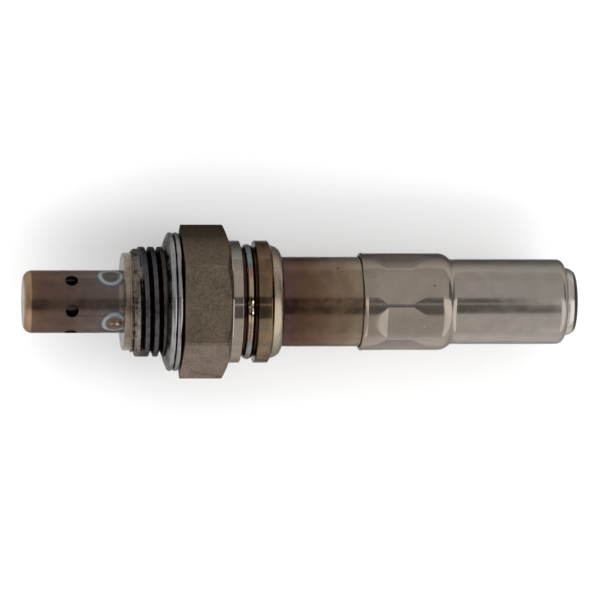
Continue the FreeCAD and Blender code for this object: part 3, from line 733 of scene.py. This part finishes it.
class SENSOR_OT_gasket(bpy.types.Operator):
    """Turns the folded gasket with its two beads"""
    bl_idname = "sensor.gasket"
    bl_label = "Gasket"

    def execute(self, context):
        path = rounded([
            (0.15, 8.45), (0.0, 9.1), (0.0, 9.7, 1.2), (0.63, 11.35, 0.45),
            (1.4, 11.35, 0.35), (1.4, 9.25), (1.48, 9.25), (1.48, 11.35, 0.35),
            (2.33, 11.35, 0.35), (2.33, 9.65), (1.93, 9.65), (1.93, 10.95), (1.88, 10.95),
            (1.88, 8.65), (1.0, 8.65), (1.0, 10.95), (0.83, 10.95), (0.4, 9.7),
            (0.4, 9.1), (0.55, 8.45)])
        gasket = turned_piece("sensor_gasket", path, sizes().turns)
        use_materials(gasket, metal("Gasket steel", gasket_tint, 0.26, lines=0.06))
        finish_piece(gasket, "gasket")
        return {"FINISHED"}


# ---------------------------------------------------------------- protector

PROTECTOR_TIP = -23.03
PROTECTOR_RADIUS = 5.125
PROTECTOR_WALL = 0.5
PROTECTOR_SKIN = 4.9    # only the outside lies beyond this radius
PROTECTOR_STEPS = 192

# Angle of each spot weld, and how far its middle lies in front of the nose.
WELDS = ((-57.0, 2.02), (41.5, 1.45), (131.0, 1.6), (213.0, 1.5))
WELD_RISE = 0.1
WELD_DIP = 0.05

HOLE_COUNT = 6
HOLE_STATION = -15.26
FIRST_HOLE = 15.0
CUTTER_SIDES = 48
CUTTER_LENGTH = 3.0
CUTTER_RADIUS = 5.0     # of the circle on which the middles of the cutters lie


def weld_centres():
    """Middles of the spot welds on the skin, in millimetres."""
    angles, ahead = np.array(WELDS).T
    return coordinates(NOSE - ahead, angles, PROTECTOR_RADIUS)


def protector_tint(tree, place):
    """Pale end face painted as a highlight, bronze tip, brown tube that turns purplish, a bare
    band at the root, and slight painted shade and light round the tube."""
    base = finishes().protector
    # the pale end face at the start of this ramp is a painted highlight
    tone = colours(tree, place["Along"], (
        (-23.04, times(base, 5.5, 7.5, 8.5)), (-22.99, times(base, 5.5, 7.5, 8.5)),
        (-22.9, times(base, 3.2, 2.95, 2.4)), (-21.95, times(base, 3.0, 2.85, 2.4)),
        (-21.7, times(base, 1.15, 1.0, 0.9)), (-18.3, times(base, 0.97, 0.9, 0.9)),
        (-15.7, times(base, 0.86, 0.87, 0.88)), (-13.0, times(base, 1.03, 1.08, 1.2)),
        (-10.6, times(base, 1.14, 1.28, 1.52)), (-7.7, times(base, 1.14, 1.28, 1.52)),
        (-7.5, times(base, 2.0, 2.6, 2.8)), (-6.8, times(base, 2.0, 2.6, 2.8))))
    # slight painted shade, darkest just past the top, and slight painted light on the near side
    painted_side_shading = colours(tree, place["Side"], (
        (-90.0, (0.9, 1.0, 1.05)), (-20.0, (0.9, 0.92, 0.92)), (8.0, (0.85, 0.87, 0.8)),
        (20.0, (0.95, 1.0, 1.0)), (90.0, (1.0, 1.08, 1.1))))
    return multiplied(tree, tone, painted_side_shading, grey(tree, 1.24))


def protector_finish(tree, place, base, rough):
    """Silver ring, blue rim and scorched middle round each spot weld, specks and a smudge
    near them, and a rougher tip."""
    where = object_place(tree)
    nearest, *others = (put(tree, "VectorMath", {0: where, 1: tuple(centre * MM)},
                            operation="DISTANCE").outputs["Value"]
                        for centre in weld_centres())
    for other in others:
        nearest = maths(tree, "MINIMUM", nearest, other)
    gap = maths(tree, "MULTIPLY", nearest, 1 / MM)
    upper = span(tree, place["Angle"], -20.0, -10.0, 1.0, 0.0)
    patches = group(tree, "Blotches", Size=0.7).outputs[0]
    brown = blend(tree, span(tree, patches, 0.48, 0.62), (0.085, 0.062, 0.05),
                  (0.16, 0.085, 0.055))
    middle = blend(tree, upper, brown, (0.068, 0.062, 0.056))
    ring = colours(tree, gap, (
        (1.35, (0.11, 0.11, 0.1)), (1.5, (0.16, 0.165, 0.16)), (1.72, (0.3, 0.305, 0.3)),
        (1.95, (0.2, 0.205, 0.21)), (2.15, (0.1, 0.115, 0.13)), (2.35, (0.045, 0.055, 0.07))))
    base = blend(tree, span(tree, gap, 2.2, 2.65, 1.0, 0.0), base, ring)
    base = blend(tree, span(tree, gap, 1.15, 1.5, 1.0, 0.0), base, middle)
    for along, angle, shade in (
            (-7.75, 43.0, (0.36, 0.33, 0.3)), (-7.45, -62.0, (0.2, 0.1, 0.06)),
            (-8.75, 43.0, (0.25, 0.12, 0.07)), (-7.35, 40.0, (0.04, 0.03, 0.025))):
        spot = oval(tree, place, along, angle, PROTECTOR_RADIUS, 0.65, 0.6)
        base = blend(tree, spot, base, shade)
    smudge = oval(tree, place, -12.55, 63.0, PROTECTOR_RADIUS, 1.3, 0.5)
    base = blend(tree, maths(tree, "MULTIPLY", smudge, 0.5), base, (0.03, 0.02, 0.015))
    rim = maths(tree, "MULTIPLY", span(tree, gap, 1.4, 1.6), span(tree, gap, 1.95, 2.2, 1.0, 0.0))
    rough = maths(tree, "ADD", rough, maths(tree, "MULTIPLY", rim, 0.1))
    tip = span(tree, place["Along"], -22.1, -21.8, 0.16, 0.0)
    return base, maths(tree, "ADD", rough, tip)


def form_welds(cup):
    """Raises a ring round each spot weld and sinks its middle."""
    x, angle, radius = places(cup)
    skin = coordinates(x, angle, PROTECTOR_RADIUS)
    gap = np.min([np.linalg.norm(skin - spot, axis=1) for spot in weld_centres()], axis=0)
    ring = sizes().weld_ring / MM
    rise = ease(gap, ring - 0.8, ring - 0.35) * (1 - ease(gap, ring - 0.35, ring))
    dip = 1 - ease(gap, 0.3, ring - 0.6)
    change = WELD_RISE * rise - WELD_DIP * dip
    move_to(cup, x, angle, radius + np.where(radius > PROTECTOR_SKIN, change, 0))


def bore_gas_holes(cup):
    """Cuts each gas hole with a cylinder."""
    for k in range(HOLE_COUNT):
        out = outward(FIRST_HOLE + 360.0 / HOLE_COUNT * k)
        bpy.ops.object.select_all(action="DESELECT")
        bpy.ops.mesh.primitive_cylinder_add(
            vertices=CUTTER_SIDES, radius=sizes().hole_diameter / 2,
            depth=CUTTER_LENGTH * MM,
            location=Vector((HOLE_STATION * MM, 0, 0)) + out * CUTTER_RADIUS * MM,
            rotation=out.to_track_quat("Z", "X").to_euler())
        cutter = bpy.context.object
        bore = cup.modifiers.new("Gas hole", "BOOLEAN")
        bore.operation = "DIFFERENCE"
        bore.solver = "EXACT"
        bore.object = cutter
        bpy.context.view_layer.objects.active = cup
        bpy.ops.object.modifier_apply(modifier=bore.name)
        bpy.data.objects.remove(cutter)


class SENSOR_OT_protector(bpy.types.Operator):
    """Draws the outer protector cup, with its gas holes and spot welds"""
    bl_idname = "sensor.protector"
    bl_label = "Protector"

    def execute(self, context):
        bore = PROTECTOR_RADIUS - PROTECTOR_WALL
        path = rounded([
            (PROTECTOR_TIP, 0.0), (PROTECTOR_TIP, PROTECTOR_RADIUS, 1.5),
            (NOSE, PROTECTOR_RADIUS), (NOSE, bore),
            (PROTECTOR_TIP + PROTECTOR_WALL, bore, 1.0),
            (PROTECTOR_TIP + PROTECTOR_WALL, 0.0)], arc_step=9.0)
        path = with_rows(path, -21.8, NOSE, 0.8)
        path = with_rows(path, -12.5, NOSE, 0.12)     # finer, for the spot welds
        cup = turned_piece("sensor_protector", path, PROTECTOR_STEPS, closed=False)
        form_welds(cup)
        bore_gas_holes(cup)
        use_materials(cup, metal("Protector steel", protector_tint, 0.3, lines=0.04,
                                 blotch=0.14, blotch_size=3.0, edge=0.55,
                                 extra=protector_finish))
        finish_piece(cup, "outer_protector", angle=35.0)
        return {"FINISHED"}


# ---------------------------------------------------------------- sleeve

SLEEVE_RADIUS = 7.95
SLEEVE_BORE = 7.45

# The crimp starts, is fully pressed from one station to the next, and ends.
CRIMP = (33.11, 36.21, 40.41, 43.81)
CRIMP_COUNT = 8
CRIMP_ANGLE = 24.8      # middle of one of the flats
CRIMP_EXPONENT = 1.8    # how slowly the flats begin at both ends
CRIMP_SOFTNESS = 0.03   # rounding of the edges between the flats


def crimp(piece):
    """Presses the eight flats into both walls of the sleeve."""
    x, angle, radius = places(piece)
    start, flat, flat_end, end = CRIMP
    zone = (x > start) & (x < end)
    outside = radius[zone] > (SLEEVE_RADIUS + SLEEVE_BORE) / 2
    full = np.where(outside, SLEEVE_RADIUS, SLEEVE_BORE)
    depth = sizes().crimp_depth / MM
    before = np.clip((x[zone] - start) / (flat - start), 0, 1)
    behind = np.clip((end - x[zone]) / (end - flat_end), 0, 1)
    pressed = before ** CRIMP_EXPONENT * behind ** CRIMP_EXPONENT
    step = 360.0 / CRIMP_COUNT
    off = (angle[zone] - CRIMP_ANGLE + step / 2) % step - step / 2
    limit = (full - depth * pressed) / np.cos(np.radians(off))
    soft = CRIMP_SOFTNESS * np.exp(-np.abs(full - limit) / CRIMP_SOFTNESS) / 2
    radius[zone] = np.minimum(full, limit) - soft * (pressed > 0)
    move_to(piece, x, angle, radius)


def sleeve_tint(tree, place):
    """Browner at the mouth and greyer at the rear, painted dark on the far side as shade and pale
    on the near one as light, with a few small pits and a boss painted brighter as a highlight."""
    base = finishes().sleeve
    tone = colours(tree, place["Along"], (
        (32.0, times(base, 0.88, 0.8, 0.72)), (33.4, times(base, 0.9, 0.84, 0.78)),
        (35.0, times(base, 0.95, 0.92, 0.88)), (44.0, times(base, 0.96, 0.93, 0.89)),
        (48.0, times(base, 1.02, 1.01, 0.99)), (67.3, times(base, 1.02, 1.05, 1.07))))
    for along, angle, size, shade in ((43.8, -21.9, 0.33, 0.25), (34.1, -33.0, 0.3, 0.6),
                                      (42.2, 29.0, 0.25, 1.5)):
        spot = oval(tree, place, along, angle, 7.9, size, size)
        tone = blend(tree, spot, tone, times(base, shade, shade, shade))
    # painted shade on the far side, a slightly darker band just past the top, and painted light on
    # the near side, at the front and at the rear
    front = colours(tree, place["Side"], (
        (-90.0, (0.2, 0.2, 0.21)), (-68.0, (0.22, 0.22, 0.24)), (-58.0, (0.33, 0.33, 0.34)),
        (-46.0, (0.46, 0.46, 0.46)), (-38.0, (0.5, 0.5, 0.5)), (3.0, (0.5, 0.5, 0.5)),
        (14.0, (0.42, 0.42, 0.42)), (38.0, (0.42, 0.42, 0.42)), (62.0, (0.78, 0.8, 0.84)),
        (90.0, (0.95, 1.0, 1.0))))
    rear = colours(tree, place["Side"], (
        (-90.0, (0.22, 0.22, 0.23)), (-65.0, (0.25, 0.26, 0.27)), (-54.0, (0.4, 0.4, 0.41)),
        (-42.0, (0.5, 0.5, 0.5)), (45.0, (0.5, 0.5, 0.5)), (66.0, (0.76, 0.8, 0.86)),
        (90.0, (0.95, 1.0, 1.0))))
    painted_side_shading = blend(tree, span(tree, place["Along"], 44.0, 48.0), front, rear)
    # painted highlight: the boss is brighter
    level = span(tree, place["Along"], 66.1, 66.4, RAMP_SCALE, 2.75)
    return multiplied(tree, tone, painted_side_shading, grey(tree, level))


def sleeve_finish(tree, place, base, rough):
    """More satin towards the rear."""
    return base, maths(tree, "ADD", rough, span(tree, place["Along"], 50.0, 58.0, 0.0, 0.045))


class SENSOR_OT_sleeve(bpy.types.Operator):
    """Draws the stepped outer sleeve and presses its crimp"""
    bl_idname = "sensor.sleeve"
    bl_label = "Sleeve"

    def execute(self, context):
        # the flared mouth is a quarter of an oval, from its inside to its rim
        mouth = [(32.15 + 0.25 * (1 - math.cos(math.radians(k))),
                  7.57 + 0.47 * math.sin(math.radians(k))) for k in range(0, 91, 9)]
        path = rounded([
            *mouth, (32.46, 8.04), (32.98, 7.905, 0.15), (33.1, SLEEVE_RADIUS, 0.05),
            (46.15, SLEEVE_RADIUS, 2.3), (47.2, 6.9, 1.05), (48.3, 6.98, 0.5),
            (66.07, 6.98, 1.3), (66.07, 5.58, 0.1), (66.55, 5.57, 0.4), (67.24, 5.32, 0.1),
            (67.24, 5.23), (65.57, 5.23), (65.57, 6.48, 0.8), (47.97, 6.48), (47.67, 6.45),
            (46.57, 6.45), (45.82, SLEEVE_BORE, 1.8), (32.75, SLEEVE_BORE)])
        path = with_rows(path, 32.8, 45.6, 0.1)
        sleeve = turned_piece("sensor_sleeve", path, sizes().turns)
        crimp(sleeve)
        use_materials(sleeve, metal("Sleeve steel", sleeve_tint, 0.17, lines=0.02, blotch=0.05,
                                    rough_spread=0.03, line_bump=0.0015,
                                    extra=sleeve_finish))
        finish_piece(sleeve, "outer_sleeve")
        return {"FINISHED"}


# ---------------------------------------------------------------- CAD pieces that stay

def tube_tint(tree, place):
    """Purplish brown under the lip, gold to beige towards the sleeve, painted blue-grey on the far
    side as shade and pale on the near one as light, with a smear."""
    base = finishes().tube
    tone = colours(tree, place["Along"], (
        (19.0, times(base, 0.62, 0.55, 0.68)), (20.2, times(base, 0.71, 0.6, 0.72)),
        (21.4, times(base, 0.69, 0.57, 0.62)), (22.7, times(base, 0.76, 0.64, 0.64)),
        (24.2, times(base, 0.86, 0.79, 0.72)), (25.8, tuple(base)),
        (27.4, times(base, 1.2, 1.23, 1.2)), (28.9, times(base, 1.29, 1.36, 1.32)),
        (30.1, times(base, 1.41, 1.53, 1.52)), (31.0, times(base, 1.53, 1.75, 1.76)),
        (32.4, times(base, 1.55, 1.8, 1.85))))
    # painted shade on the far side, a slightly darker band just past the top, and painted light on
    # the near side
    painted_side_shading = colours(tree, place["Side"], (
        (-90.0, (0.35, 0.44, 0.55)), (-68.0, (0.4, 0.48, 0.58)), (-52.0, (0.5, 0.53, 0.56)),
        (-40.0, (0.5, 0.52, 0.52)), (0.0, (0.5, 0.5, 0.5)), (16.0, (0.4, 0.41, 0.41)),
        (38.0, (0.41, 0.42, 0.43)), (54.0, (0.52, 0.53, 0.6)), (66.0, (0.76, 0.9, 1.0)),
        (90.0, (0.85, 1.0, 1.0))))
    tone = multiplied(tree, tone, painted_side_shading, grey(tree, RAMP_SCALE))
    smear = oval(tree, place, 28.2, -50.6, 7.35, 1.2, 0.4, turn=110.0)
    return blend(tree, maths(tree, "MULTIPLY", smear, 0.6), tone, (0.05, 0.03, 0.02))


class SENSOR_OT_tube_and_grommet(bpy.types.Operator):
    """Finishes the rear tube, the grommet and its vent"""
    bl_idname = "sensor.tube_and_grommet"
    bl_label = "Rear tube and grommet"

    def execute(self, context):
        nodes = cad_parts
        use_materials(nodes["rear_tube"],
                      metal("Tinted tube steel", tube_tint, 0.22, lines=0.03, blotch=0.1))
        use_materials(nodes["grommet"],
                      plain("Black rubber", finishes().rubber, 0.45, specular=0.2))
        use_materials(nodes["vent_membrane"], plain("White film", (0.8, 0.8, 0.78), 0.7))
        return {"FINISHED"}


class SENSOR_OT_inner_pieces(bpy.types.Operator):
    """Finishes the pieces inside the shell and the sleeve"""
    bl_idname = "sensor.inner_pieces"
    bl_label = "Inner pieces"

    def execute(self, context):
        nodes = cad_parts
        kinds = (
            (metal("Inner protector steel", (0.05, 0.04, 0.034), 0.35), ("inner_protector",)),
            (metal("Washer steel", (0.35, 0.34, 0.32), 0.35),
             ("seat_washer", "element_washer", "packing_ring")),
            (metal("Contact steel", (0.5, 0.48, 0.44), 0.28),
             ("separator_spring", "outer_contact", "inner_contact", "heater_contact_left",
              "heater_contact_right", "vent_tube")),
            (plain("Alumina", (0.8, 0.79, 0.75), 0.55),
             ("ceramic_holder", "heater_rod", "ceramic_sleeve", "separator")),
            (plain("Zirconia", (0.76, 0.73, 0.66), 0.5), ("sensing_element",)),
            (plain("Talc", (0.68, 0.67, 0.64), 0.8, grain=0.2), ("talc_seal",)))
        for material, names in kinds:
            for name in names:
                use_materials(nodes[name], material)
        return {"FINISHED"}


# ---------------------------------------------------------------- stage

BOX_DISTANCE = 0.9      # metres from the axis to each lamp
WORLD_LEVEL = 0.3
FLOOR_SIZE = 8.0        # metres
FLOOR_WHITE = 0.93

CAMERA_TARGET = (22.5, 0.265, 0.0)
CAMERA_SIDE = (-0.108, 0.047, 0.993)     # from the target to the camera, 1 m away
CAMERA_LENS = 366.0
CAMERA_SENSOR = 36.0


def stand(thing, right, up, back, at):
    """Places a lamp or the camera by its three axes. It looks away from back."""
    turn = Matrix((right, up, back)).transposed().to_4x4()
    thing.matrix_world = Matrix.Translation(at) @ turn


def softbox(name, low, high, start, end, brightness, glossy=True):
    """Soft lamp beside the sensor, parallel to its axis.

    The sensor sees it between two angles round its axis, in degrees from straight up
    and growing towards -Y. It reaches from start to end along the axis, in metres.
    """
    out = outward((low + high) / 2)
    side = Vector((1.0, 0.0, 0.0))
    width = end - start
    height = 2 * BOX_DISTANCE * math.tan(math.radians(high - low) / 2)
    light = bpy.data.lights.new(name, "AREA")
    light.shape = "RECTANGLE"
    light.size = width
    light.size_y = height
    light.energy = brightness * math.pi * width * height
    lamp = bpy.data.objects.new(name, light)
    bpy.context.scene.collection.objects.link(lamp)
    stand(lamp, side, out.cross(side), out, out * BOX_DISTANCE + side * ((start + end) / 2))
    lamp.visible_camera = False
    lamp.visible_glossy = glossy


class SENSOR_OT_stage(bpy.types.Operator):
    """Lays the pale floor and sets the soft lamps and the camera"""
    bl_idname = "sensor.stage"
    bl_label = "Stage"

    def execute(self, context):
        scene = bpy.context.scene
        scene.view_settings.view_transform = "Standard"
        world = bpy.data.worlds.new("Studio")
        scene.world = world
        world.use_nodes = True
        background = world.node_tree.nodes["Background"]
        background.inputs["Color"].default_value = (WORLD_LEVEL, WORLD_LEVEL, WORLD_LEVEL, 1)
        background.inputs["Strength"].default_value = 1.0

        bpy.ops.object.select_all(action="DESELECT")
        bpy.ops.mesh.primitive_plane_add(size=FLOOR_SIZE,
                                         location=(0, 0, -sizes().floor_depth))
        floor = bpy.context.object
        floor.name = "floor"
        bpy.ops.object.transform_apply(location=True, rotation=False, scale=False)
        white, _, shader = new_material("Floor white")
        shader.inputs["Base Color"].default_value = (FLOOR_WHITE, FLOOR_WHITE, FLOOR_WHITE, 1)
        shader.inputs["Roughness"].default_value = 1.0
        shader.inputs["Specular IOR Level"].default_value = 0.0
        use_materials(floor, white)

        softbox("Upper box", -61.4, -11.4, -1.2, 1.3, 0.7)
        softbox("Far upper box", -93, -61.4, -1.2, 1.3, 0.62)
        softbox("Lower box", 29.6, 93, -1.3, 0.42, 0.88)
        softbox("Thin strip", 2.5, 4.2, -0.5, 0.41, 1.5)
        softbox("Lead side box", -10, 93, 0.42, 5.0, 1.85)
        softbox("Gas side box", 20, 93, -2.2, -0.62, 1.0)
        softbox("Near floor lamp", 30, 62, -0.6, 0.6, 1.25, glossy=False)
        softbox("Far floor lamp", -62, -30, -0.6, 0.6, 1.25, glossy=False)

        data = bpy.data.cameras.new("Camera")
        data.lens = CAMERA_LENS
        data.sensor_width = CAMERA_SENSOR
        data.clip_start = 0.05
        data.clip_end = 20.0
        camera = bpy.data.objects.new("Camera", data)
        scene.collection.objects.link(camera)
        back = Vector(CAMERA_SIDE).normalized()
        up = back.cross((1, 0, 0)).normalized()
        stand(camera, up.cross(back), up, back, Vector(CAMERA_TARGET) * MM + back)
        scene.camera = camera
        return {"FINISHED"}


# ---------------------------------------------------------------- add-on

OPERATORS = (SENSOR_OT_shell, SENSOR_OT_gasket, SENSOR_OT_protector, SENSOR_OT_sleeve,
             SENSOR_OT_tube_and_grommet, SENSOR_OT_inner_pieces, SENSOR_OT_stage)


class SENSOR_PT_panel(bpy.types.Panel):
    """Lists the settings and the steps"""
    bl_label = "Oxygen sensor"
    bl_idname = "SENSOR_PT_panel"
    bl_space_type = "VIEW_3D"
    bl_region_type = "UI"
    bl_category = "Oxygen sensor"

    def draw(self, context):
        for settings in (context.scene.sensor_sizes, context.scene.sensor_finishes):
            for name in settings.__annotations__:
                self.layout.prop(settings, name)
        for operator in OPERATORS:
            self.layout.operator(operator.bl_idname)


CLASSES = (SensorSizes, SensorFinishes, *OPERATORS, SENSOR_PT_panel)


def register():
    for item in CLASSES:
        bpy.utils.register_class(item)
    bpy.types.Scene.sensor_sizes = PointerProperty(type=SensorSizes)
    bpy.types.Scene.sensor_finishes = PointerProperty(type=SensorFinishes)


def unregister():
    del bpy.types.Scene.sensor_finishes
    del bpy.types.Scene.sensor_sizes
    for item in reversed(CLASSES):
        bpy.utils.unregister_class(item)


def main():
    register()
    place_group()
    lines_group()
    blotches_group()
    bpy.ops.sensor.shell()
    bpy.ops.sensor.gasket()
    bpy.ops.sensor.protector()
    bpy.ops.sensor.sleeve()
    bpy.ops.sensor.tube_and_grommet()
    bpy.ops.sensor.inner_pieces()
    bpy.ops.sensor.stage()


if __name__ == "__main__":
    main()
